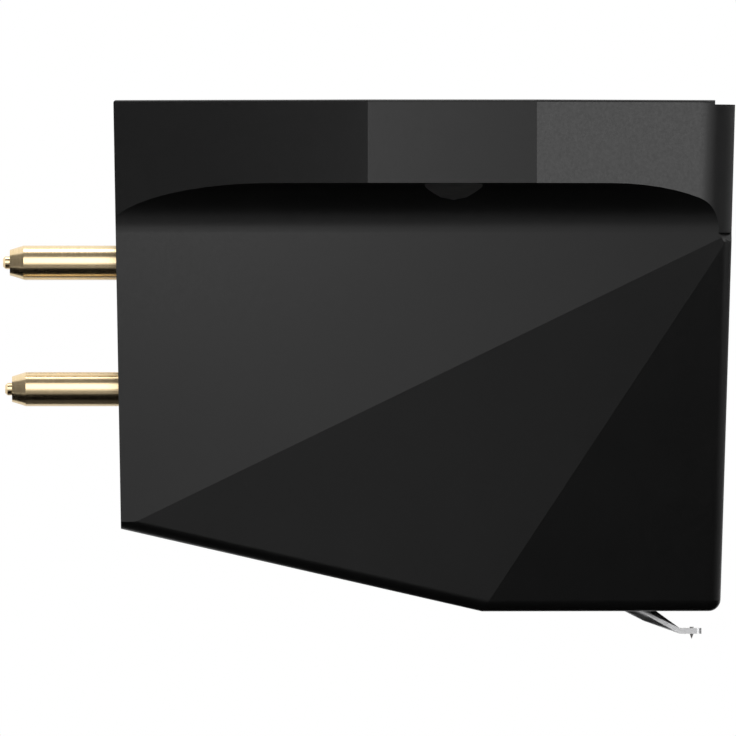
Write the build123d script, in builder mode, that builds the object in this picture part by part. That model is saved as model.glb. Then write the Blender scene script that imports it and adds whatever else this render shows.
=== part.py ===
"""Moving magnet phono cartridge with a one-piece moulded body, a half-inch mount and four terminal pins.

Frame: millimetres, +X towards the front, +Y to the left, +Z up. The origin lies on the mounting face, midway
between the two mounting holes, so the whole cartridge hangs below Z = 0.
"""

import os
from math import cos, radians, sin, sqrt, tan

from build123d import *

# Mounting flange
mount_spacing = 12.7
ear_margin = 2.15
ear_half_width = mount_spacing / 2 + ear_margin
ear_rear_x = -3.0
ear_front_x = 2.9
flange_thickness = 2.91
flange_corner_radius = 1.88
flange_rear_overhang = 0.07
nose_length = 0.72
nose_drop = 0.15
flange_edge_radius = 0.1

# Body outline seen from the side
rear_reach = 11.9
front_reach = 9.87
rear_lean_deg = 1.0
front_lean_deg = 1.6
rear_depth = 15.0
belly_depth = 17.9
belly_length = 8.87
belly_break_x = front_reach - belly_length
front_edge_radius = 0.42
under_edge_radius = 0.5

# Flank facets, by the half widths at the corners of the lower body
cove_radius = 1.72
shoulder_inset = 0.6
shoulder_half_width = mount_spacing / 2 - shoulder_inset
flank_draft_deg = 2.0
keel_inset = 1.75
keel_half_width = shoulder_half_width - keel_inset
toe_half_width = 2.5
corner_bevel_length = 0.5
corner_bevel_width = 1.25
corner_bevel_height = 0.45

# Shell walls and openings
wall = 0.95
cavity_drop = 0.12
plate_thickness = 1.2
plate_setback = 0.15
plate_ledge = 0.35
slot_rear_run = 1.35
slot_front_setback = 1.57
slot_front_x = front_reach - slot_front_setback
slot_clearance = 0.15
slot_corner_radius = 0.5

# Mounting inserts
insert_radius = 1.7
insert_shoulder_depth = 2.57
insert_cone_deg = 30.0
insert_tip_radius = 0.3
insert_tip_height = 0.06
thread_bore_radius = 1.025
thread_depth = 2.3
thread_chamfer = 0.2

# Terminal pins
pin_radius = 0.6
pin_reach = 4.0
pin_upper_depth = 5.67
pin_row_spacing = 4.44
pin_side_spacing = 4.4
pin_taper_length = 0.48
pin_taper_radius = 0.45
pin_pip_radius = 0.22
pin_pip_length = 0.24
pin_pip_chamfer = 0.08
pin_stem_radius = 0.3
pin_tail_length = 1.2

# Generator frame and magnetic screen
frame_inset = 2.0
frame_half_width = shoulder_half_width - frame_inset
frame_rear_margin = 0.25
frame_front_margin = 0.45
frame_thickness = 0.8
frame_leg_length = 0.8
frame_leg_half_width = 3.0
rib_half_width = 0.4
rib_overlap = 1.5
rib_clear_rise = 0.95
holder_wall = 0.55
holder_rise = 2.2
anchor_boss_wall = 0.25
screen_thickness = 0.2
screen_bend_radius = 0.5

# Coils and their bobbins, two along each side
coil_gap = 0.6
bobbin_height = 6.43
bobbin_screen_gap = 0.1
bobbin_middle_gap = 0.3
bobbin_flange_side = frame_half_width - screen_thickness - bobbin_screen_gap - bobbin_middle_gap / 2
bobbin_flange_thickness = 0.4
bobbin_tube_radius = 0.8
coil_pitch = bobbin_flange_side + coil_gap
coil_side_spacing = bobbin_flange_side + bobbin_middle_gap
coil_inset = 0.1
coil_radius = bobbin_flange_side / 2 - coil_inset
lead_radius = 0.09
lead_length = 1.75
lead_inset = 0.15
wire_sides = 8

# Pole pins, bent from round rod so that their tips face the magnet
pole_radius = 0.45
pole_proud = 0.1
pole_head_gap = 0.12
pole_front_bend_drop = 0.55
pole_rear_bend_drop = 0.8
pole_tip_along = 1.6
pole_tip_rise = 0.86
pole_tip_spacing = 2.0

# Stylus suspension, along an axis that rises from the stylus back to the pivot
pivot_setback = 6.52
pivot_x = front_reach - pivot_setback
pivot_rise = 1.65
stylus_rake_deg = 27.0
carrier_radius = 1.5
carrier_bore_radius = 1.1
carrier_lip_radius = 0.55
carrier_lip_thickness = 0.3
carrier_front = -0.6
carrier_rear = 0.5
damper_front = -0.2
damper_length = 0.53
damper_radius = 1.0
magnet_front = 0.45
magnet_length = 1.9
magnet_radius = 0.6
anchor_front = 3.2
anchor_length = 1.2
anchor_radius = 0.5
wire_radius = 0.06
wire_front = -0.3
wire_end_cover = 0.2

# Cantilever and stylus
tube_radius = 0.275
tube_bore_radius = 0.2
tube_rear = 0.95
tube_taper_front = -3.9
tube_bore_front = -3.0
flat_thickness = 0.2
flat_width = 0.6
flat_setback = 1.13
flat_length = 0.77
flat_drop = 0.715
flat_corner_radius = 0.2
stylus_setback = 0.35
stylus_drop = 0.265
stylus_cone_height = 0.17
stylus_radius = 0.07
stylus_tip_radius = 0.012
stylus_proud = 0.045

# Clearances
bond_gap = 0.02
lead_gap = 0.06
running_gap = 0.05
cut_margin = 1.0

# Depths and widths that follow from the sizes above
cavity_depth = flange_thickness + cove_radius + cavity_drop
bobbin_top_depth = cavity_depth + screen_thickness + pole_head_gap + pole_proud
pivot_depth = belly_depth - pivot_rise
flat_depth = belly_depth + flat_drop
stylus_tip_depth = flat_depth + stylus_drop
flat_front_x = front_reach - flat_setback
flat_rear_x = flat_front_x - flat_length
stylus_x = flat_front_x - stylus_setback
slot_rear_x = pivot_x - slot_rear_run
slot_half_width = carrier_radius + slot_clearance
holder_half_width = carrier_radius + holder_wall

os.makedirs("parts", exist_ok=True)


def rear_x(z):
    """X of the leaning rear face at height z."""
    return -rear_reach - z * tan(radians(rear_lean_deg))


def front_x(z):
    """X of the leaning front face at height z."""
    return front_reach + z * tan(radians(front_lean_deg))


def flank_y(z):
    """Half width of the drafted upper flank at height z."""
    return shoulder_half_width - (shoulder_z - z) * tan(radians(flank_draft_deg))


def plane_through(first, second, third, outward):
    """Plane through three points, with its normal on the outward side."""
    normal = (Vector(second) - Vector(first)).cross(Vector(third) - Vector(first)).normalized()
    if normal.dot(Vector(outward)) < 0:
        normal = -normal
    return Plane(origin=Vector(first), z_dir=normal)


def lies_on(edge, *planes):
    """True where both ends of an edge lie on every one of the planes."""
    ends = [Vector(vertex) for vertex in edge.vertices()]
    return all(abs((end - plane.origin).dot(plane.z_dir)) < touch for end in ends for plane in planes)


# Corners of the left flank: the crown where all three facets meet at the front of the shoulder, the heel at
# the bottom of the rear wall, the keel where the belly turns up, and the toe at the front of the belly
touch = 1e-4
left = (0, 1, 0)
down = (0, 0, -1)
shoulder_z = -flange_thickness - cove_radius
shoulder_rear = (-rear_reach, shoulder_half_width, shoulder_z)
crown = (front_x(shoulder_z), shoulder_half_width, shoulder_z)
heel = (rear_x(-rear_depth), flank_y(-rear_depth), -rear_depth)
keel = (belly_break_x, keel_half_width, -belly_depth)
toe = (front_x(-belly_depth), toe_half_width, -belly_depth)
keel_middle = (belly_break_x, 0, -belly_depth)

# Planes that bound the body
upper_facet = plane_through(shoulder_rear, heel, crown, left)
lower_facet = plane_through(heel, crown, keel, left)
chin_facet = plane_through(crown, keel, toe, left)
ramp_plane = plane_through(heel, keel, keel_middle, down)
belly_plane = plane_through(keel, toe, keel_middle, down)
front_plane = plane_through((front_reach, 0, 0), (front_reach, 1, 0), toe, (1, 0, 0))
rear_plane = plane_through((-rear_reach, 0, 0), (-rear_reach, 1, 0), heel, (-1, 0, 0))
shoulder_plane = Plane.XY.offset(shoulder_z)
corner_plane = plane_through(
    (front_x(shoulder_z) - corner_bevel_length, shoulder_half_width, shoulder_z),
    (front_x(shoulder_z), shoulder_half_width - corner_bevel_width, shoulder_z),
    (front_x(shoulder_z), shoulder_half_width, shoulder_z - corner_bevel_height),
    left,
)
half_block = (4 * rear_reach, 2 * ear_half_width, 2 * belly_depth)
half_block_align = (Align.CENTER, Align.MIN, Align.MAX)


def trim(*planes, inset=0):
    """Keep what lies inside the planes, each moved inwards by the inset."""
    for plane in planes:
        split(bisect_by=plane.offset(-inset), keep=Keep.BOTTOM)


# Mounting flange: widest at the ears, tapered to both ends, coved underneath and stepped down at the nose
with BuildPart() as flange:
    with BuildSketch(shoulder_plane):
        with BuildLine():
            Polyline(
                (-rear_reach, 0),
                (-rear_reach, shoulder_half_width + flange_rear_overhang),
                (ear_rear_x, ear_half_width),
                (ear_front_x, ear_half_width),
                (front_reach, shoulder_half_width),
                (front_reach, 0),
            )
            mirror(about=Plane.XZ)
        make_face()
    extrude(amount=-shoulder_z)
    trim(front_plane, rear_plane)
    corners = flange.edges().filter_by(lambda edge: lies_on(edge, front_plane))
    fillet(corners.filter_by(Axis.Y, reverse=True), flange_corner_radius)
    with BuildSketch(Plane.YZ.offset(-rear_reach - cut_margin)):
        with BuildLine():
            RadiusArc(
                (shoulder_half_width, shoulder_z),
                (shoulder_half_width + cove_radius, -flange_thickness),
                cove_radius,
            )
            Polyline(
                (shoulder_half_width + cove_radius, -flange_thickness),
                (ear_half_width + cut_margin, -flange_thickness),
                (ear_half_width + cut_margin, shoulder_z),
                (shoulder_half_width, shoulder_z),
            )
        make_face()
        mirror(about=Plane.YZ)
    extrude(amount=rear_reach + front_reach + 2 * cut_margin, mode=Mode.SUBTRACT)
    fillet(flange.faces().sort_by(Axis.Z)[-1].edges(), flange_edge_radius)
    with Locations((front_reach - nose_length, 0, -nose_drop)):
        Box(
            front_reach,
            2 * ear_half_width,
            nose_drop,
            align=(Align.MIN, Align.CENTER, Align.MIN),
            mode=Mode.SUBTRACT,
        )

# Chin: the left half of the front facet and the flat belly, rounded into each other and into the front face
with BuildPart() as chin:
    Box(*half_block, align=half_block_align)
    trim(chin_facet, belly_plane)
    fillet(chin.edges().filter_by(lambda edge: lies_on(edge, chin_facet, belly_plane)), under_edge_radius)
    trim(front_plane)
    chin_edges = chin.edges().filter_by(lambda edge: lies_on(edge, front_plane))
    lower_edges = chin_edges.filter_by(lambda edge: edge.center().Z < shoulder_z and edge.center().Y > touch)
    fillet(lower_edges, front_edge_radius)

# Cheek: the left half of the upper flank, rounded into the front face
with BuildPart() as cheek:
    Box(*half_block, align=half_block_align)
    trim(upper_facet, front_plane)
    fillet(cheek.edges().filter_by(lambda edge: lies_on(edge, upper_facet, front_plane)), front_edge_radius)

# Lower body: three flank facets on each side, with rounded front and lower edges and bevelled front corners
with BuildPart() as lower_body:
    Box(*half_block, align=half_block_align)
    trim(lower_facet, ramp_plane)
    ramp_edge = lower_body.edges().filter_by(lambda edge: lies_on(edge, lower_facet, ramp_plane))
    fillet(ramp_edge, under_edge_radius)
    add(chin.part, mode=Mode.INTERSECT)
    add(cheek.part, mode=Mode.INTERSECT)
    trim(rear_plane, shoulder_plane, corner_plane)
    mirror(about=Plane.XZ)

# Cavity for the generator, with a wider recess at the rear that seats the rear plate
cavity_planes = (upper_facet, lower_facet, chin_facet, ramp_plane, belly_plane, front_plane)
cavity_z = -cavity_depth
plate_rear_x = heel[0] + plate_setback
plate_front_x = plate_rear_x + plate_thickness
with BuildPart() as cavity:
    with Locations((0, 0, cavity_z)):
        Box(*half_block, align=half_block_align)
    trim(*cavity_planes, inset=wall)
    mirror(about=Plane.XZ)
with BuildPart() as plate_recess:
    with Locations((0, 0, cavity_z + plate_ledge)):
        Box(*half_block, align=half_block_align)
    trim(*cavity_planes, inset=wall - plate_ledge)
    mirror(about=Plane.XZ)
    split(bisect_by=Plane.YZ.offset(plate_front_x), keep=Keep.BOTTOM)

# Body shell: flange and lower body in one moulding, hollow, with a slot in the belly for the cantilever
cone_tip_depth = insert_shoulder_depth + insert_radius * tan(radians(insert_cone_deg))
with BuildPart() as body_shell:
    add(flange.part)
    add(lower_body.part)
    add(cavity.part, mode=Mode.SUBTRACT)
    add(plate_recess.part, mode=Mode.SUBTRACT)
    with BuildSketch(Plane.XY.offset(-belly_depth - cut_margin)):
        with Locations(((slot_rear_x + slot_front_x) / 2, 0)):
            RectangleRounded(slot_front_x - slot_rear_x, 2 * slot_half_width, slot_corner_radius)
    extrude(amount=cut_margin + wall + touch, mode=Mode.SUBTRACT)
    for side in (1, -1):
        seat_axis = Axis((0, side * mount_spacing / 2, 0), (0, 0, 1))
        with BuildSketch(Plane.XZ.offset(-side * mount_spacing / 2)):
            with BuildLine():
                Polyline(
                    (0, 0),
                    (insert_radius + bond_gap, 0),
                    (insert_radius + bond_gap, -insert_shoulder_depth),
                    (0, -cone_tip_depth - bond_gap),
                    close=True,
                )
            make_face()
        revolve(axis=seat_axis, mode=Mode.SUBTRACT)
body_shell.part.label = "body_shell"
export_step(body_shell.part, "parts/body_shell.step")

# Mounting inserts: one threaded blind bush in each ear, its conical end showing under the flange
with BuildPart() as mount_inserts:
    with BuildSketch(Plane.XZ.offset(-mount_spacing / 2)):
        with BuildLine():
            Polyline(
                (0, 0),
                (insert_radius, 0),
                (insert_radius, -insert_shoulder_depth),
                (insert_tip_radius, insert_tip_radius * tan(radians(insert_cone_deg)) - cone_tip_depth),
                (0, insert_tip_height - cone_tip_depth),
                close=True,
            )
        make_face()
    revolve(axis=Axis((0, mount_spacing / 2, 0), (0, 0, 1)))
    with Locations((0, mount_spacing / 2, 0)):
        Hole(thread_bore_radius, thread_depth)
    chamfer(mount_inserts.faces().sort_by(Axis.Z)[-1].inner_wires().edges(), thread_chamfer)
    mirror(about=Plane.XZ)
mount_inserts.part.label = "mount_inserts"
export_step(mount_inserts.part, "parts/mount_inserts.step")

# Rear plate that closes the shell and carries the terminal pins
sides = {"left": 1, "right": -1}
pin_rows = {"upper": -pin_upper_depth, "lower": -pin_upper_depth - pin_row_spacing}
tail_front_x = plate_front_x + pin_tail_length
pin_places = [(side * pin_side_spacing / 2, z) for side in sides.values() for z in pin_rows.values()]
with BuildPart() as rear_plate:
    with Locations((0, 0, cavity_z + plate_ledge - bond_gap)):
        Box(*half_block, align=half_block_align)
    trim(*cavity_planes, inset=wall - plate_ledge + bond_gap)
    mirror(about=Plane.XZ)
    split(bisect_by=Plane.YZ.offset(plate_rear_x), keep=Keep.TOP)
    split(bisect_by=Plane.YZ.offset(plate_front_x - bond_gap), keep=Keep.BOTTOM)
    with BuildSketch(Plane.YZ.offset(plate_rear_x)):
        with Locations(*pin_places):
            Circle(pin_stem_radius + bond_gap)
    extrude(amount=plate_thickness, mode=Mode.SUBTRACT)
rear_plate.part.label = "rear_plate"
export_step(rear_plate.part, "parts/rear_plate.step")

# Terminal pins: a long round contact outside, on a thinner stem through the plate to the solder tail
for side_name, side in sides.items():
    for row_name, row_z in pin_rows.items():
        pin_y = side * pin_side_spacing / 2
        pin_tip_x = rear_x(row_z) - pin_reach
        pin_pip_x = pin_tip_x + pin_pip_length
        with BuildPart() as terminal_pin:
            with BuildSketch(Plane(origin=(0, pin_y, row_z), x_dir=(1, 0, 0), z_dir=(0, -1, 0))):
                with BuildLine():
                    Polyline(
                        (pin_tip_x, 0),
                        (pin_tip_x, pin_pip_radius),
                        (pin_pip_x, pin_pip_radius),
                        (pin_pip_x, pin_taper_radius),
                        (pin_pip_x + pin_taper_length, pin_radius),
                        (plate_rear_x, pin_radius),
                        (plate_rear_x, pin_stem_radius),
                        (tail_front_x, pin_stem_radius),
                        (tail_front_x, 0),
                        close=True,
                    )
                make_face()
            revolve(axis=Axis((0, pin_y, row_z), (1, 0, 0)))
            chamfer(terminal_pin.edges().filter_by(GeomType.CIRCLE).sort_by(Axis.X)[0], pin_pip_chamfer)
        terminal_pin.part.label = f"terminal_pin_{side_name}_{row_name}"
        export_step(terminal_pin.part, f"parts/{terminal_pin.part.label}.step")

# Suspension axis: Z runs up along the cantilever to the rear, X rises square to it, Y stays to the left
rake = radians(stylus_rake_deg)
axis_plane = Plane(
    origin=(pivot_x, 0, -pivot_depth),
    x_dir=(sin(rake), 0, cos(rake)),
    z_dir=(-cos(rake), 0, sin(rake)),
)


def axis_point(along, rise, side=0):
    """Point placed along the suspension axis, behind the pivot and above it."""
    return axis_plane.from_local_coords((rise, side, along))


def axis_outline(*places):
    """Side view coordinates of points given along the axis and above it."""
    return [(axis_point(*place).X, axis_point(*place).Z) for place in places]


# Generator frame: a plate under the bobbins, legs to the floor, and a rib to the holder round the carrier
bobbin_bottom_z = -bobbin_top_depth - bobbin_height
plate_top_z = bobbin_bottom_z - bond_gap
plate_bottom_z = plate_top_z - frame_thickness
coil_rear_x = tail_front_x + lead_length + coil_radius
coil_xs = {"front": coil_rear_x + coil_pitch, "rear": coil_rear_x}
coil_places = [(x, side * coil_side_spacing / 2) for x in coil_xs.values() for side in sides.values()]
frame_rear_x = coil_xs["rear"] - bobbin_flange_side / 2 - frame_rear_margin
frame_front_x = coil_xs["front"] + bobbin_flange_side / 2 + frame_front_margin
rib_rear_x = frame_front_x - rib_overlap
boss_radius = anchor_radius + anchor_boss_wall
anchor_rear = anchor_front + anchor_length
with BuildPart() as generator_frame:
    with BuildSketch(Plane.XY.offset(plate_bottom_z)):
        with Locations(((frame_rear_x + frame_front_x) / 2, 0)):
            Rectangle(frame_front_x - frame_rear_x, 2 * frame_half_width)
    extrude(amount=frame_thickness)
    with Locations((frame_rear_x, 0, plate_bottom_z)):
        Box(
            frame_leg_length,
            2 * frame_leg_half_width,
            belly_depth,
            align=(Align.MIN, Align.CENTER, Align.MAX),
        )
    with BuildSketch(Plane.XZ):
        with BuildLine():
            Polyline(
                (rib_rear_x, plate_top_z),
                (frame_front_x, plate_top_z),
                *axis_outline(
                    (carrier_rear, holder_rise),
                    (carrier_rear, rib_clear_rise),
                    (anchor_front, rib_clear_rise),
                    (anchor_front, 0),
                    (anchor_rear, 0),
                ),
                (rib_rear_x, plate_bottom_z),
                close=True,
            )
        make_face()
    extrude(amount=rib_half_width, both=True)
    with BuildSketch(axis_plane.offset(anchor_front)):
        Circle(boss_radius)
    extrude(amount=anchor_length)
    with BuildSketch(axis_plane.offset(carrier_front)):
        with Locations((holder_rise, 0)):
            Rectangle(2 * holder_rise, 2 * holder_half_width, align=(Align.MAX, Align.CENTER))
    extrude(amount=carrier_rear - carrier_front)
    trim(ramp_plane, belly_plane, inset=wall + bond_gap)
    with BuildSketch(axis_plane.offset(anchor_front)):
        Circle(anchor_radius + bond_gap)
    extrude(amount=anchor_length, mode=Mode.SUBTRACT)
    with BuildSketch(axis_plane.offset(carrier_front)):
        Circle(carrier_radius + bond_gap)
    extrude(amount=carrier_rear - carrier_front, mode=Mode.SUBTRACT)
    with BuildSketch(Plane.XY.offset(plate_bottom_z)):
        with Locations(*coil_places):
            Circle(pole_radius + bond_gap)
    extrude(amount=frame_thickness, mode=Mode.SUBTRACT)
generator_frame.part.label = "generator_frame"
export_step(generator_frame.part, "parts/generator_frame.step")

# Bobbins, coils and pole pins
coil_bottom_z = bobbin_bottom_z + bobbin_flange_thickness
coil_top_z = -bobbin_top_depth - bobbin_flange_thickness
pole_bend_zs = {"front": plate_bottom_z - pole_front_bend_drop, "rear": plate_bottom_z - pole_rear_bend_drop}
pole_tip_rises = {"front": pole_tip_rise, "rear": -pole_tip_rise}
for side_name, side in sides.items():
    for end_name, coil_x in coil_xs.items():
        coil_y = side * coil_side_spacing / 2
        with BuildPart() as bobbin:
            with BuildSketch(Plane.XY.offset(bobbin_bottom_z)):
                with Locations((coil_x, coil_y)):
                    Rectangle(bobbin_flange_side, bobbin_flange_side)
            extrude(amount=bobbin_height)
            with BuildSketch(Plane.XY.offset(coil_bottom_z)):
                with Locations((coil_x, coil_y)):
                    Rectangle(bobbin_flange_side, bobbin_flange_side)
                    Circle(bobbin_tube_radius, mode=Mode.SUBTRACT)
            extrude(amount=coil_top_z - coil_bottom_z, mode=Mode.SUBTRACT)
            with Locations((coil_x, coil_y, -bobbin_top_depth)):
                Hole(pole_radius + bond_gap, bobbin_height)
        bobbin.part.label = f"bobbin_{side_name}_{end_name}"
        export_step(bobbin.part, f"parts/{bobbin.part.label}.step")
        with BuildPart() as coil:
            with BuildSketch(Plane.XY.offset(coil_bottom_z + bond_gap)):
                with Locations((coil_x, coil_y)):
                    Circle(coil_radius)
                    Circle(bobbin_tube_radius + bond_gap, mode=Mode.SUBTRACT)
            extrude(amount=coil_top_z - coil_bottom_z - 2 * bond_gap)
        coil.part.label = f"coil_{side_name}_{end_name}"
        export_step(coil.part, f"parts/{coil.part.label}.step")
        with BuildPart() as pole_pin:
            with BuildLine() as pole_path:
                Polyline(
                    (coil_x, coil_y, pole_proud - bobbin_top_depth),
                    (coil_x, coil_y, pole_bend_zs[end_name]),
                    axis_point(pole_tip_along, pole_tip_rises[end_name], side * pole_tip_spacing / 2),
                )
            with BuildSketch(Plane(origin=pole_path.line @ 0, z_dir=pole_path.line % 0)):
                Circle(pole_radius)
            sweep(transition=Transition.RIGHT)
        pole_pin.part.label = f"pole_pin_{side_name}_{end_name}"
        export_step(pole_pin.part, f"parts/{pole_pin.part.label}.step")

# Coil leads: from each solder tail to the rear coil, and a link from coil to coil on each side
with BuildPart() as coil_leads:
    for side in sides.values():
        coil_y = side * coil_side_spacing / 2
        lead_y = side * pin_side_spacing / 2
        lead_chord = sqrt(coil_radius**2 - (lead_y - coil_y) ** 2)
        for row_z in pin_rows.values():
            lead_z = min(row_z, coil_top_z - lead_inset)
            lead_start = Vector(tail_front_x + lead_gap, lead_y, row_z)
            lead_end = Vector(coil_xs["rear"] - lead_chord - lead_gap, lead_y, lead_z)
            with BuildSketch(Plane(origin=lead_start, z_dir=lead_end - lead_start)):
                RegularPolygon(lead_radius, wire_sides)
            extrude(amount=(lead_end - lead_start).length)
        link_length = coil_pitch - 2 * coil_radius - 2 * bond_gap
        link_start = (coil_xs["rear"] + coil_radius + bond_gap, coil_y, coil_bottom_z + lead_inset)
        with BuildSketch(Plane(origin=link_start, z_dir=(1, 0, 0))):
            RegularPolygon(lead_radius, wire_sides)
        extrude(amount=link_length)
coil_leads.part.label = "coil_leads"
export_step(coil_leads.part, "parts/coil_leads.step")

# Magnetic screen: a sheet folded over the coils, standing on the frame plate
with BuildPart() as magnetic_screen:
    with BuildSketch(Plane.YZ.offset(frame_rear_x)):
        with BuildLine():
            FilletPolyline(
                (-frame_half_width, plate_top_z + bond_gap),
                (-frame_half_width, cavity_z - bond_gap),
                (frame_half_width, cavity_z - bond_gap),
                (frame_half_width, plate_top_z + bond_gap),
                radius=screen_bend_radius,
            )
            offset(amount=-screen_thickness, side=Side.RIGHT)
        make_face()
    extrude(amount=frame_front_x - frame_rear_x)
magnetic_screen.part.label = "magnetic_screen"
export_step(magnetic_screen.part, "parts/magnetic_screen.step")

# Stylus carrier: a sleeve in the holder, lipped at the front
with BuildPart() as stylus_carrier:
    with BuildSketch(axis_plane.offset(carrier_front)):
        Circle(carrier_radius)
        Circle(carrier_lip_radius, mode=Mode.SUBTRACT)
    extrude(amount=carrier_rear - carrier_front)
    with BuildSketch(axis_plane.offset(carrier_front + carrier_lip_thickness)):
        Circle(carrier_bore_radius)
    extrude(amount=carrier_rear - carrier_front, mode=Mode.SUBTRACT)
stylus_carrier.part.label = "stylus_carrier"
export_step(stylus_carrier.part, "parts/stylus_carrier.step")

# Tie wire and its anchor, which hold the cantilever back against the damper
with BuildPart() as wire_anchor:
    with BuildSketch(axis_plane.offset(anchor_front)):
        Circle(anchor_radius)
    extrude(amount=anchor_length)
    with BuildSketch(axis_plane.offset(anchor_front)):
        Circle(wire_radius + bond_gap)
    extrude(amount=anchor_length - wire_end_cover, mode=Mode.SUBTRACT)
wire_anchor.part.label = "wire_anchor"
export_step(wire_anchor.part, "parts/wire_anchor.step")
with BuildPart() as tie_wire:
    with BuildSketch(axis_plane.offset(wire_front)):
        RegularPolygon(wire_radius, wire_sides)
    extrude(amount=anchor_rear - wire_end_cover - bond_gap - wire_front)
tie_wire.part.label = "tie_wire"
export_step(tie_wire.part, "parts/tie_wire.step")

# Damper: the rubber ring the cantilever pivots in
with BuildPart() as damper_ring:
    with BuildSketch(axis_plane.offset(damper_front)):
        Circle(damper_radius)
        Circle(tube_radius + running_gap, mode=Mode.SUBTRACT)
    extrude(amount=damper_length)
damper_ring.part.label = "damper_ring"
export_step(damper_ring.part, "parts/damper_ring.step")

# Magnet: a short tube on the tail of the cantilever
with BuildPart() as magnet:
    with BuildSketch(axis_plane.offset(magnet_front)):
        Circle(magnet_radius)
    extrude(amount=magnet_length)
    with BuildSketch(axis_plane.offset(magnet_front)):
        Circle(tube_radius + bond_gap)
    extrude(amount=magnet_length, mode=Mode.SUBTRACT)
magnet.part.label = "magnet"
export_step(magnet.part, "parts/magnet.step")

# Cantilever: a thin tube, pressed flat at the tip to take the stylus
with BuildPart() as cantilever:
    with BuildSketch(axis_plane.offset(tube_taper_front)):
        Circle(tube_radius)
    extrude(amount=tube_rear - tube_taper_front)
    with BuildSketch(axis_plane.offset(tube_taper_front)):
        Circle(tube_radius)
    with BuildSketch(Plane.YZ.offset(flat_rear_x)):
        with Locations((0, -flat_depth)):
            Rectangle(flat_width, flat_thickness)
    loft()
    with BuildSketch(Plane.XY.offset(-flat_depth - flat_thickness / 2)) as flat_plan:
        with Locations((flat_rear_x, 0)):
            Rectangle(flat_front_x - flat_rear_x, flat_width, align=(Align.MIN, Align.CENTER))
        fillet(flat_plan.vertices().group_by(Axis.X)[-1], flat_corner_radius)
    extrude(amount=flat_thickness)
    with BuildSketch(axis_plane.offset(tube_bore_front)):
        Circle(tube_bore_radius)
    extrude(amount=tube_rear - tube_bore_front, mode=Mode.SUBTRACT)
    with Locations((stylus_x, 0, -flat_depth)):
        Cylinder(stylus_radius + bond_gap / 2, 2 * flat_thickness, mode=Mode.SUBTRACT)
cantilever.part.label = "cantilever"
export_step(cantilever.part, "parts/cantilever.step")

# Stylus: a diamond rod with a conical tip
with BuildPart() as stylus_tip:
    with BuildSketch(Plane.XZ):
        with BuildLine():
            Polyline(
                (stylus_x, flat_thickness / 2 + stylus_proud - flat_depth),
                (stylus_x + stylus_radius, flat_thickness / 2 + stylus_proud - flat_depth),
                (stylus_x + stylus_radius, stylus_cone_height - stylus_tip_depth),
                (stylus_x + stylus_tip_radius, -stylus_tip_depth),
                (stylus_x, -stylus_tip_depth),
                close=True,
            )
        make_face()
    revolve(axis=Axis((stylus_x, 0, 0), (0, 0, 1)))
stylus_tip.part.label = "stylus_tip"
export_step(stylus_tip.part, "parts/stylus_tip.step")
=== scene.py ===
import math

import bmesh
import bpy
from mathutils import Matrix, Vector


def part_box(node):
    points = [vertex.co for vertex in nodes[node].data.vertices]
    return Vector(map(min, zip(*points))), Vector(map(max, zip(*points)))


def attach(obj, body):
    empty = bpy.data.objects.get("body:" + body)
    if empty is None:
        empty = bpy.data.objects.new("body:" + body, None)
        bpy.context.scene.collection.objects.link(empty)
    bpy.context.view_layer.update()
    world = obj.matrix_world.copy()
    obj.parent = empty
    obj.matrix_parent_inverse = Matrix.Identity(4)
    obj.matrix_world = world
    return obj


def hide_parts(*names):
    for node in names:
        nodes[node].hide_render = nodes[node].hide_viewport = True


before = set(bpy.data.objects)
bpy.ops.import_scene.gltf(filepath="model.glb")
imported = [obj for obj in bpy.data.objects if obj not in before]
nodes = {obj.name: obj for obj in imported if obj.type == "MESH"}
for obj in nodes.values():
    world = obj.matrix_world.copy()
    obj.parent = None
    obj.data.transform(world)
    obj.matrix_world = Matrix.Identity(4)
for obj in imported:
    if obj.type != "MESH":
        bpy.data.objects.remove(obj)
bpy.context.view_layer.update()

mm = 0.001

# Body shell: one hollow moulding in black glass-filled plastic, with a wide mounting flange over three flat
# facets on each flank. The eroded skin of the tool leaves a fine even grain, and the colour is a shade
# uneven where the melt flowed.


def new_finish(name, **settings):
    """Start a finish: its node tree, its main shader and the object coordinates."""
    finish = bpy.data.materials.new(name)
    finish.use_nodes = True
    tree = finish.node_tree
    shader = tree.nodes["Principled BSDF"]
    for socket, value in settings.items():
        shader.inputs[socket.replace("_", " ")].default_value = value
    place = tree.nodes.new("ShaderNodeTexCoord")
    return finish, tree, shader, place.outputs["Object"]


def grain(tree, place, size, detail, stretch=(1, 1, 1), turn=(0, 0, 0)):
    """Noise with the given grain size in metres, drawn out along an axis where the stretch is above one."""
    mapping = tree.nodes.new("ShaderNodeMapping")
    mapping.inputs["Rotation"].default_value = turn
    mapping.inputs["Scale"].default_value = [1 / (size * s) for s in stretch]
    noise = tree.nodes.new("ShaderNodeTexNoise")
    noise.inputs["Scale"].default_value = 1
    noise.inputs["Detail"].default_value = detail
    noise.inputs["Roughness"].default_value = 0.6
    tree.links.new(place, mapping.inputs["Vector"])
    tree.links.new(mapping.outputs["Vector"], noise.inputs["Vector"])
    return noise.outputs["Fac"]


def ramp(tree, value, low, high, socket):
    """Run a socket from one colour or grey to another along the middle of a noise."""
    steps = tree.nodes.new("ShaderNodeValToRGB")
    tree.links.new(value, steps.inputs["Fac"])
    for element, at, tint in zip(steps.color_ramp.elements, (0.3, 0.7), (low, high)):
        element.position = at
        element.color = (tint, tint, tint, 1) if isinstance(tint, float) else (*tint, 1)
    tree.links.new(steps.outputs["Color"], socket)


def relief(tree, shader, height, depth):
    """Small relief on a finish, with its depth in metres."""
    bump = tree.nodes.new("ShaderNodeBump")
    bump.inputs["Strength"].default_value = 0.5
    bump.inputs["Distance"].default_value = depth
    tree.links.new(height, bump.inputs["Height"])
    tree.links.new(bump.outputs["Normal"], shader.inputs["Normal"])


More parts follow.
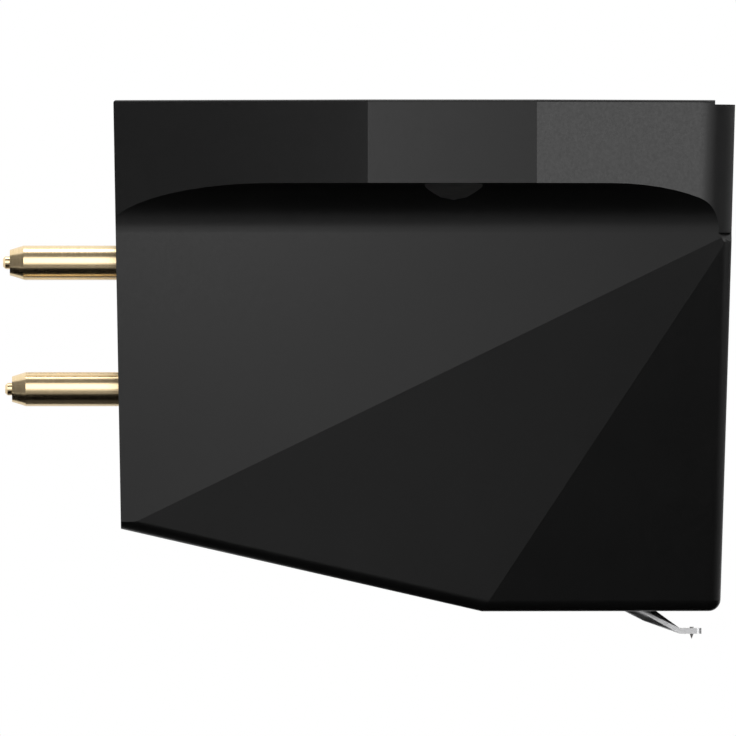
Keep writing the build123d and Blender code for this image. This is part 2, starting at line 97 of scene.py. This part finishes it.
def wear(finish, *names):
    """Put a finish on CAD pieces."""
    for name in names:
        mesh = nodes[name].data
        mesh.materials.clear()
        mesh.materials.append(finish)


shell_black, tree, shader, place = new_finish("shell_plastic")
skin = grain(tree, place, 0.11 * mm, 3)
flow = grain(tree, place, 2.5 * mm, 3)
ramp(tree, flow, 0.0014, 0.0022, shader.inputs["Base Color"])
ramp(tree, skin, 0.32, 0.38, shader.inputs["Roughness"])
relief(tree, shader, skin, 0.0015 * mm)
wear(shell_black, "body_shell")

# Mounting inserts: two blind bushes turned from steel bar and left a dull grey, moulded into the ears with
# their coned ends showing below. Each is tapped for the arm's mounting screw, with a countersunk mouth.


def new_rule(name, *sizes):
    """Start a Geometry Nodes tree with one named input for each size."""
    tree = bpy.data.node_groups.new(name, "GeometryNodeTree")
    tree.interface.new_socket("base", in_out="INPUT", socket_type="NodeSocketGeometry")
    for size in sizes:
        tree.interface.new_socket(size, in_out="INPUT", socket_type="NodeSocketFloat")
    tree.interface.new_socket("finish", in_out="INPUT", socket_type="NodeSocketMaterial")
    tree.interface.new_socket("made", in_out="OUTPUT", socket_type="NodeSocketGeometry")
    return tree, tree.nodes.new("NodeGroupInput").outputs


def step(tree, kind, mode=None, **inputs):
    """Add one node: its mode is a pair, and its inputs are values, sockets or the nodes that give them."""
    node = tree.nodes.new(kind)
    if mode:
        setattr(node, *mode)
    for name, value in inputs.items():
        socket = node.inputs[name.replace("_", " ")]
        for item in value if isinstance(value, list) else [value]:
            item = item.outputs[0] if isinstance(item, bpy.types.Node) else item
            if isinstance(item, bpy.types.NodeSocket):
                tree.links.new(item, socket)
            else:
                socket.default_value = item
    return node


def reckon(tree, operation, *terms):
    """Add one sum between numbers, sockets or nodes."""
    node = step(tree, "ShaderNodeMath", ("operation", operation))
    for socket, term in zip(node.inputs, terms):
        term = term.outputs[0] if isinstance(term, bpy.types.Node) else term
        if isinstance(term, bpy.types.NodeSocket):
            tree.links.new(term, socket)
        else:
            socket.default_value = term
    return node


def grow(tree, given, made, piece, finish, **sizes):
    """End a rule in real geometry with a finish, run it on a piece, and leave the piece a plain mesh."""
    real = step(tree, "GeometryNodeRealizeInstances", Geometry=made)
    done = step(tree, "GeometryNodeSetMaterial", Geometry=real, Material=given["finish"])
    tree.links.new(done.outputs[0], tree.nodes.new("NodeGroupOutput").inputs["made"])
    rule = piece.modifiers.new(tree.name, "NODES")
    rule.node_group = tree
    for socket in tree.interface.items_tree:
        if socket.in_out == "INPUT" and socket.name != "base":
            rule[socket.identifier] = finish if socket.name == "finish" else sizes[socket.name]
    solved = piece.evaluated_get(bpy.context.evaluated_depsgraph_get())
    piece.data = bpy.data.meshes.new_from_object(solved)
    piece.modifiers.remove(rule)
    crease = math.radians(35)
    piece.data.shade_smooth()
    piece.data.set_sharp_from_angle(angle=crease)


def new_piece(name, shape):
    """Make an object of a worked shape."""
    mesh = bpy.data.meshes.new(name)
    shape.to_mesh(mesh)
    shape.free()
    piece = bpy.data.objects.new(name, mesh)
    bpy.context.collection.objects.link(piece)
    return piece


def turned(shape, outline, centre_y, sides):
    """Add a turned form on an upright axis, as rings of a radius and a height, or a point on the axis."""
    turns = [2 * math.pi * i / sides for i in range(sides)]
    rings = []
    for radius, height in outline:
        angles = turns if radius else turns[:1]
        spots = [(radius * math.cos(a), centre_y + radius * math.sin(a), height) for a in angles]
        rings.append([shape.verts.new(spot) for spot in spots])
    for low, high in zip(rings, rings[1:]):
        for i in range(sides):
            j = i + 1
            quad = (low[i % len(low)], low[j % len(low)], high[j % len(high)], high[i % len(high)])
            shape.faces.new(dict.fromkeys(quad))


insert_steel, tree, shader, place = new_finish("insert_metal", Metallic=1.0)
turning = grain(tree, place, 0.05 * mm, 2, stretch=(20, 20, 1))
ramp(tree, turning, (0.40, 0.395, 0.39), (0.52, 0.515, 0.51), shader.inputs["Base Color"])
ramp(tree, turning, 0.36, 0.50, shader.inputs["Roughness"])
relief(tree, shader, turning, 0.002 * mm)

low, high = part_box("mount_inserts")
insert_radius = (high[0] - low[0]) / 2
insert_spacing = high[1] - low[1] - 2 * insert_radius
shoulder, tip_rim = -2.70 * mm, (0.45 * mm, -3.40 * mm)
bore, countersink, bore_end = 1.025 * mm, 0.2 * mm, -2.3 * mm
groove_depth, thread_pitch = 0.22 * mm, 0.45 * mm
thread_sides, thread_steps = 48, 56
bushes = bmesh.new()
for insert_y in (-insert_spacing / 2, insert_spacing / 2):
    outside = [(0, low[2]), tip_rim, (insert_radius, shoulder), (insert_radius, high[2])]
    mouth = [(bore + countersink, high[2]), (bore, high[2] - countersink)]
    turned(bushes, outside + mouth, insert_y, thread_sides)
    turned(bushes, [(bore, bore_end), (0, bore_end)], insert_y, thread_sides)
inserts = new_piece("threaded_inserts", bushes)

tree, given = new_rule("thread", "bore", "groove", "pitch", "length", "middle", "spacing")
wall = step(tree, "GeometryNodeMeshCylinder", ("fill_type", "NONE"), Vertices=thread_sides,
            Side_Segments=thread_steps, Radius=given["bore"], Depth=given["length"])
spot = step(tree, "GeometryNodeInputPosition")
x, y, z = step(tree, "ShaderNodeSeparateXYZ", Vector=spot).outputs
around = reckon(tree, "DIVIDE", reckon(tree, "ARCTAN2", y, x), 2 * math.pi)
wound = reckon(tree, "SUBTRACT", reckon(tree, "DIVIDE", z, given["pitch"]), around)
tooth = reckon(tree, "PINGPONG", reckon(tree, "MULTIPLY", wound, 2.0), 1.0)
margin = reckon(tree, "SUBTRACT", reckon(tree, "DIVIDE", given["length"], 2.0), reckon(tree, "ABSOLUTE", z))
runout = reckon(tree, "MINIMUM", reckon(tree, "DIVIDE", margin, given["pitch"]), 1.0)
cut = reckon(tree, "MULTIPLY", reckon(tree, "MULTIPLY", tooth, runout), given["groove"])
swell = reckon(tree, "ADD", reckon(tree, "DIVIDE", cut, given["bore"]), 1.0)
spread = step(tree, "ShaderNodeCombineXYZ", X=swell, Y=swell, Z=1.0)
moved = step(tree, "ShaderNodeVectorMath", ("operation", "MULTIPLY"))
tree.links.new(spot.outputs[0], moved.inputs[0])
tree.links.new(spread.outputs[0], moved.inputs[1])
thread = step(tree, "GeometryNodeSetPosition", Geometry=wall, Position=moved)
inward = step(tree, "GeometryNodeFlipFaces", Mesh=thread)
near_side = reckon(tree, "DIVIDE", given["spacing"], -2.0)
first = step(tree, "ShaderNodeCombineXYZ", Y=near_side, Z=given["middle"])
apart = step(tree, "ShaderNodeCombineXYZ", Y=given["spacing"])
pair = step(tree, "GeometryNodeMeshLine", ("mode", "OFFSET"), Count=2, Start_Location=first, Offset=apart)
threads = step(tree, "GeometryNodeInstanceOnPoints", Points=pair, Instance=inward)
loose = step(tree, "GeometryNodeJoinGeometry", Geometry=[given["base"], threads])
solid = step(tree, "GeometryNodeRealizeInstances", Geometry=loose)
joined = step(tree, "GeometryNodeMergeByDistance", Geometry=solid, Distance=0.001 * mm)
thread_top = high[2] - countersink
grow(tree, given, joined, inserts, insert_steel, bore=bore, groove=groove_depth, pitch=thread_pitch,
     length=thread_top - bore_end, middle=(thread_top + bore_end) / 2, spacing=insert_spacing)
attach(inserts, "body")
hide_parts("mount_inserts")

# Generator frame: a grey moulding that stands on the shell's floor on short legs. It carries the four
# bobbins on its plate and holds the stylus carrier in a ring at the front.

frame_grey, tree, shader, place = new_finish("frame_plastic", Specular_IOR_Level=0.4)
skin = grain(tree, place, 0.3 * mm, 3)
ramp(tree, skin, (0.10, 0.10, 0.105), (0.13, 0.13, 0.135), shader.inputs["Base Color"])
ramp(tree, skin, 0.45, 0.60, shader.inputs["Roughness"])
relief(tree, shader, skin, 0.006 * mm)
wear(frame_grey, "generator_frame")

# Bobbins: four small spools moulded in cream nylon, two along each side. Their square lower flanges are
# bonded to the frame's plate.

bobbin_cream, tree, shader, place = new_finish("bobbin_plastic", Specular_IOR_Level=0.4)
skin = grain(tree, place, 0.25 * mm, 3)
ramp(tree, skin, (0.62, 0.57, 0.47), (0.70, 0.66, 0.56), shader.inputs["Base Color"])
ramp(tree, skin, 0.40, 0.55, shader.inputs["Roughness"])
relief(tree, shader, skin, 0.005 * mm)
wear(bobbin_cream, *(name for name in nodes if name.startswith("bobbin")))

# Pole pins: bent from round nickel-iron rod and annealed, which leaves them a soft grey. One goes through
# each bobbin, and its lower end is brought to the magnet.

pole_grey, tree, shader, place = new_finish("pole_metal", Metallic=1.0)
drawing = grain(tree, place, 0.06 * mm, 2, stretch=(1, 1, 15))
ramp(tree, drawing, (0.42, 0.40, 0.37), (0.54, 0.52, 0.48), shader.inputs["Base Color"])
ramp(tree, drawing, 0.32, 0.45, shader.inputs["Roughness"])
relief(tree, shader, drawing, 0.002 * mm)
wear(pole_grey, *(name for name in nodes if name.startswith("pole_pin")))

# Coils: fine copper wire with a red-brown enamel, wound in close turns on each bobbin. Leads of the same
# wire run straight to the pins' solder tails and across from coil to coil.

coil_copper, tree, shader, place = new_finish(
    "coil_wire", Metallic=0.85, Coat_Weight=0.6, Coat_Roughness=0.15)
tint = grain(tree, place, 0.3 * mm, 3)
ramp(tree, tint, (0.42, 0.13, 0.05), (0.56, 0.20, 0.08), shader.inputs["Base Color"])
ramp(tree, tint, 0.24, 0.36, shader.inputs["Roughness"])
wear(coil_copper, "coil_leads")

coil_names = [name for name in nodes if name.startswith("coil_") and name != "coil_leads"]
wire_radius, tube_radius = 0.04 * mm, 0.82 * mm
turn_pitch = 2.05 * wire_radius
turn_steps, strand_sides, hoop_sides = 18, 6, 36
feet = bmesh.new()
for name in coil_names:
    low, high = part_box(name)
    feet.verts.new(((low[0] + high[0]) / 2, (low[1] + high[1]) / 2, low[2] + wire_radius))
coil_radius = (high[0] - low[0]) / 2 - wire_radius
wound_height = high[2] - low[2] - 2 * wire_radius
windings = new_piece("coil_windings", feet)

tree, given = new_rule("windings", "radius", "wire", "height", "turns", "tube")
path = step(tree, "GeometryNodeCurveSpiral", Resolution=turn_steps, Rotations=given["turns"],
            Height=given["height"], Start_Radius=given["radius"], End_Radius=given["radius"])
strand = step(tree, "GeometryNodeCurvePrimitiveCircle", ("mode", "RADIUS"), Resolution=strand_sides,
              Radius=given["wire"])
outer_layer = step(tree, "GeometryNodeCurveToMesh", Curve=path, Profile_Curve=strand, Fill_Caps=True)
depth = reckon(tree, "SUBTRACT", given["radius"], given["tube"])
hoop = step(tree, "GeometryNodeCurvePrimitiveCircle", ("mode", "RADIUS"), Resolution=hoop_sides,
            Radius=reckon(tree, "ADD", given["tube"], reckon(tree, "DIVIDE", depth, 2.0)))
section = step(tree, "GeometryNodeCurvePrimitiveQuadrilateral", ("mode", "RECTANGLE"), Width=depth,
               Height=given["height"])
inner_layers = step(tree, "GeometryNodeCurveToMesh", Curve=hoop, Profile_Curve=section)
half = step(tree, "ShaderNodeCombineXYZ", Z=reckon(tree, "DIVIDE", given["height"], 2.0))
lifted = step(tree, "GeometryNodeTransform", Geometry=inner_layers, Translation=half)
coil = step(tree, "GeometryNodeJoinGeometry", Geometry=[outer_layer, lifted])
coils = step(tree, "GeometryNodeInstanceOnPoints", Points=given["base"], Instance=coil)
grow(tree, given, coils, windings, coil_copper, radius=coil_radius, wire=wire_radius, height=wound_height,
     turns=wound_height / turn_pitch, tube=tube_radius)
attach(windings, "body")
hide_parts(*coil_names)

# Magnetic screen: thin nickel-iron sheet, cut and folded over the coils to keep hum out. It stands on the
# frame's plate and shows the fine lines of rolling.

screen_grey, tree, shader, place = new_finish("screen_metal", Metallic=1.0)
rolling = grain(tree, place, 0.08 * mm, 3, stretch=(25, 1, 1))
ramp(tree, rolling, (0.50, 0.48, 0.44), (0.60, 0.58, 0.54), shader.inputs["Base Color"])
ramp(tree, rolling, 0.34, 0.46, shader.inputs["Roughness"])
relief(tree, shader, rolling, 0.002 * mm)
wear(screen_grey, "magnetic_screen")

# Stylus carrier: a short sleeve turned from aluminium bar, bonded in the frame's front ring at the rake of
# the cantilever. Fine rings from the tool run round it.

rake = (0, math.radians(27), 0)
carrier_silver, tree, shader, place = new_finish("carrier_metal", Metallic=1.0)
turning = grain(tree, place, 0.05 * mm, 2, stretch=(1, 12, 12), turn=rake)
ramp(tree, turning, (0.62, 0.62, 0.63), (0.74, 0.74, 0.75), shader.inputs["Base Color"])
ramp(tree, turning, 0.26, 0.38, shader.inputs["Roughness"])
relief(tree, shader, turning, 0.002 * mm)
wear(carrier_silver, "stylus_carrier")

# Wire anchor: a small plug turned from brass, pressed in behind the carrier. The tie wire is pinched in its
# middle.

anchor_brass, tree, shader, place = new_finish("anchor_metal", Metallic=1.0)
turning = grain(tree, place, 0.05 * mm, 2, stretch=(1, 12, 12), turn=rake)
ramp(tree, turning, (0.56, 0.42, 0.20), (0.66, 0.52, 0.27), shader.inputs["Base Color"])
ramp(tree, turning, 0.28, 0.40, shader.inputs["Roughness"])
relief(tree, shader, turning, 0.002 * mm)
wear(anchor_brass, "wire_anchor")

# Tie wire: a hair-fine hard steel wire from the cantilever's tail back to the anchor. It holds the
# cantilever against the damper and lets it rock.

wire_steel, tree, shader, place = new_finish("tie_wire_steel", Metallic=1.0)
drawing = grain(tree, place, 0.02 * mm, 2, stretch=(20, 1, 1), turn=rake)
ramp(tree, drawing, (0.50, 0.50, 0.52), (0.62, 0.62, 0.64), shader.inputs["Base Color"])
ramp(tree, drawing, 0.22, 0.34, shader.inputs["Roughness"])
wear(wire_steel, "tie_wire")

# Damper ring: a soft ring of black rubber set in the carrier's mouth. The cantilever passes through it and
# rocks in it, and a faint bloom dulls its skin.

damper_black, tree, shader, place = new_finish("damper_rubber", Specular_IOR_Level=0.3)
bloom = grain(tree, place, 0.12 * mm, 4)
ramp(tree, bloom, 0.018, 0.032, shader.inputs["Base Color"])
ramp(tree, bloom, 0.60, 0.80, shader.inputs["Roughness"])
relief(tree, shader, bloom, 0.004 * mm)
wear(damper_black, "damper_ring")

# Magnet: a short tube of rare-earth magnet on the cantilever's tail, between the pole pins' ends. It is
# nickel plated over a slightly pitted sintered core.

magnet_nickel, tree, shader, place = new_finish("magnet_metal", Metallic=1.0)
plating = grain(tree, place, 0.06 * mm, 3)
ramp(tree, plating, (0.56, 0.54, 0.50), (0.66, 0.64, 0.60), shader.inputs["Base Color"])
ramp(tree, plating, 0.20, 0.32, shader.inputs["Roughness"])
relief(tree, shader, plating, 0.002 * mm)
wear(magnet_nickel, "magnet")

# Cantilever: a drawn tube of bright aluminium alloy, tapered and pressed flat at the tip. It reaches out of
# the slot under the nose, and faint lines from the die run along it.

cantilever_bright, tree, shader, place = new_finish("cantilever_alloy", Metallic=1.0)
drawing = grain(tree, place, 0.03 * mm, 3, stretch=(25, 1, 1), turn=rake)
ramp(tree, drawing, (0.94, 0.94, 0.95), (0.97, 0.97, 0.98), shader.inputs["Base Color"])
ramp(tree, drawing, 0.35, 0.43, shader.inputs["Roughness"])
relief(tree, shader, drawing, 0.0003 * mm)
wear(cantilever_bright, "cantilever")

# Stylus: a short diamond rod ground to a cone, set through the flat of the cantilever and bonded there. The
# lapped stone is a clear smoky grey.

stylus_clear, tree, shader, place = new_finish("stylus_diamond", IOR=2.42, Transmission_Weight=0.55)
lapping = grain(tree, place, 0.02 * mm, 2)
ramp(tree, lapping, (0.34, 0.33, 0.32), (0.46, 0.45, 0.43), shader.inputs["Base Color"])
ramp(tree, lapping, 0.04, 0.12, shader.inputs["Roughness"])
wear(stylus_clear, "stylus_tip")

# Rear plate: a flat black moulding that closes the back of the shell and carries the four pins. Its skin is
# duller than the shell's.

plate_black, tree, shader, place = new_finish("plate_plastic", Specular_IOR_Level=0.4)
skin = grain(tree, place, 0.2 * mm, 3)
ramp(tree, skin, 0.004, 0.007, shader.inputs["Base Color"])
ramp(tree, skin, 0.46, 0.58, shader.inputs["Roughness"])
relief(tree, shader, skin, 0.004 * mm)
wear(plate_black, "rear_plate")

# Terminal pins: four contacts turned from brass rod with a coned, nibbed end, and plated in bright pale
# gold. They are pushed through the rear plate, and the coil leads are soldered to their tails inside.

pin_gold, tree, shader, place = new_finish("pin_gold", Metallic=1.0)
turning = grain(tree, place, 0.05 * mm, 2, stretch=(1, 20, 20))
ramp(tree, turning, (0.90, 0.70, 0.41), (0.95, 0.76, 0.48), shader.inputs["Base Color"])
ramp(tree, turning, 0.19, 0.27, shader.inputs["Roughness"])
relief(tree, shader, turning, 0.001 * mm)
wear(pin_gold, *(name for name in nodes if name.startswith("terminal_pin")))

# Floor and studio: a plain pale floor well below the cartridge, which hangs as it does in a tone arm, in an
# open white studio. The floor is seen from above only, so that it does not hide the underside.

floor_radius, floor_level, floor_sides = 420 * mm, -45 * mm, 96
disc = bmesh.new()
bmesh.ops.create_circle(disc, cap_ends=True, radius=floor_radius, segments=floor_sides)
bmesh.ops.translate(disc, verts=disc.verts, vec=(0, 0, floor_level))
floor = new_piece("floor", disc)
floor_pale, tree, shader, place = new_finish("floor_pale", Roughness=0.9)
fibre = grain(tree, place, 4 * mm, 3)
ramp(tree, fibre, 0.80, 0.83, shader.inputs["Base Color"])
below = tree.nodes.new("ShaderNodeNewGeometry").outputs["Backfacing"]
either_side = tree.nodes.new("ShaderNodeMixShader")
tree.links.new(below, either_side.inputs[0])
tree.links.new(shader.outputs[0], either_side.inputs[1])
tree.links.new(tree.nodes.new("ShaderNodeBsdfTransparent").outputs[0], either_side.inputs[2])
tree.links.new(either_side.outputs[0], tree.nodes["Material Output"].inputs["Surface"])
floor.data.materials.append(floor_pale)

studio_light, studio_white = 0.8, 1.0
world = bpy.data.worlds.new("studio")
bpy.context.scene.world = world
world.use_nodes = True
tree = world.node_tree
paths = tree.nodes.new("ShaderNodeLightPath")
seen = paths.outputs["Is Camera Ray"]
for kind in ("Is Glossy Ray", "Is Transmission Ray"):
    seen = reckon(tree, "MAXIMUM", seen, paths.outputs[kind]).outputs[0]
level = tree.nodes.new("ShaderNodeMapRange")
level.inputs["To Min"].default_value = studio_light
level.inputs["To Max"].default_value = studio_white
tree.links.new(seen, level.inputs["Value"])
tree.nodes["Background"].inputs["Color"].default_value = (1, 1, 1, 1)
tree.links.new(level.outputs["Result"], tree.nodes["Background"].inputs["Strength"])

# Cards and lamps: black and grey paper cards that only reflections see, which draw the facets on the black
# plastic and the bands on the pins. Three soft lamps light the near flank, the nose and the top.


def card(name, tone, *corners):
    """A flat paper card by its corners in millimetres."""
    shape = bmesh.new()
    shape.faces.new([shape.verts.new(Vector(corner) * mm) for corner in corners])
    piece = new_piece(name, shape)
    piece.visible_camera = piece.visible_diffuse = piece.visible_shadow = piece.visible_transmission = False
    paper, tree, shader, place = new_finish(name, Roughness=1.0, Specular_IOR_Level=0.0)
    ramp(tree, grain(tree, place, 2 * mm, 2), 0.9 * tone, 1.1 * tone, shader.inputs["Base Color"])
    piece.data.materials.append(paper)


def softbox(name, at, aim, width, height, power):
    """A rectangular soft lamp at one point, aimed at another, in millimetres and watts."""
    data = bpy.data.lights.new(name, "AREA")
    data.shape = "RECTANGLE"
    data.size, data.size_y = width * mm, height * mm
    data.energy = power
    lamp = bpy.data.objects.new(name, data)
    bpy.context.collection.objects.link(lamp)
    lamp.visible_camera = False
    lamp.location = Vector(at) * mm
    lamp.rotation_euler = (Vector(aim) - Vector(at)).to_track_quat("-Z", "Y").to_euler()


foot = -44  # the lower edge of the cards, just above the floor
card("under_card", 0.005, (-35, -130, foot), (100, -130, foot), (100, 45, foot), (-11.5, 45, foot),
     (-11.5, -8, foot), (-20, -8, foot), (-20, 15, foot), (-65, 15, foot), (-65, -45, foot), (-35, -45, foot))
card("pin_card", 0.07, (-20, -8, foot), (-11.5, -8, foot), (-11.5, 20, foot), (-20, 20, foot))
card("upper_card", 0.25, (-92, -92, 50), (92, -92, 50), (92, -20, 50), (-92, -20, 50))
card("low_card", 0.48, (-60, -55, foot), (14, -55, foot), (14, -55, -28), (-60, -55, -28))
card("toe_card", 0.005, (14, -55, foot), (80, -55, foot), (80, -55, -15), (14, -55, -20))
card("ear_card", 0.10, (10, -50, -13), (20, -50, -13), (20, -50, 25), (10, -50, 25))
card("rear_card", 0.18, (-70, -50, foot), (-21, -55, foot), (-21, -55, 30), (-70, -50, 30))
card("front_card", 0.28, (90, -30, -10), (90, 60, -10), (90, 60, 60), (90, -30, 60))
card("nose_card", 0.12, (90, -30, -30), (90, 60, -30), (90, 60, -10), (90, -30, -10))
card("far_card", 0.22, (14, 60, -19), (90, 60, -19), (90, 60, 60), (14, 60, 60))
softbox("camera_light", (-12, -50, 11), (-12, 0, 11), 16, 40, 0.0027)
softbox("front_light", (140, -150, 20), (6, -6, -4), 80, 70, 0.05)
softbox("top_light", (0, 0, 150), (0, 0, 0), 90, 60, 0.05)

# Camera: a long lens far off, square on to the right flank and level with its middle, as in the photograph.
# The width of the view at the flank sets how far off it stands.

view_width = 25.825
view_x, focus_y, view_z = -2.992, -2.5, -9.369
camera_data = bpy.data.cameras.new("camera")
camera_data.lens = 1400
camera_data.sensor_width = 36
distance = camera_data.lens / camera_data.sensor_width * view_width
camera = bpy.data.objects.new("camera", camera_data)
camera.location = Vector((view_x, focus_y - distance, view_z)) * mm
camera.rotation_euler = (math.radians(90), 0, 0)
camera_data.clip_start, camera_data.clip_end = 0.01, 10
bpy.context.collection.objects.link(camera)
bpy.context.scene.camera = camera
bpy.context.scene.view_settings.view_transform = "Standard"
